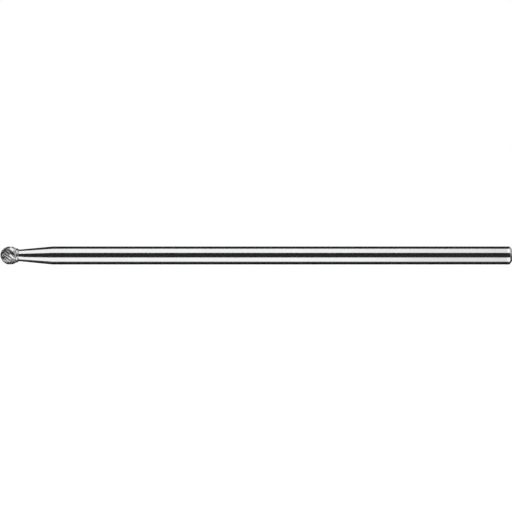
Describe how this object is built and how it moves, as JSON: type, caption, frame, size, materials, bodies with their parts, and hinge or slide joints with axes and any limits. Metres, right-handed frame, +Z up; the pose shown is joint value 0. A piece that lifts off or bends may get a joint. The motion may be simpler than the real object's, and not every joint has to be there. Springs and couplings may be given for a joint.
{
  "type": "carbide burr",
  "caption": "Long-shank rotary burr with a ball-shaped, double-cut carbide head brazed to a tapered neck and a plain round steel shank.",
  "frame": {"origin": "on the surface that the burr lies on, under the middle of its length and of its width", "axes": "+X along the axis from the ball head to the chamfered end of the shank, +Z up"},
  "size_m": [0.17, 0.006, 0.006],
  "materials": {
    "tungsten_carbide": "ground sintered tungsten carbide",
    "silver_braze": "silver braze, ground flush",
    "ground_steel": "hardened steel, centreless ground"
  },
  "bodies": {
    "root": {"cutting_head": "tungsten_carbide", "braze_joint": "silver_braze", "shank": "ground_steel"}
  },
  "joints": []
}
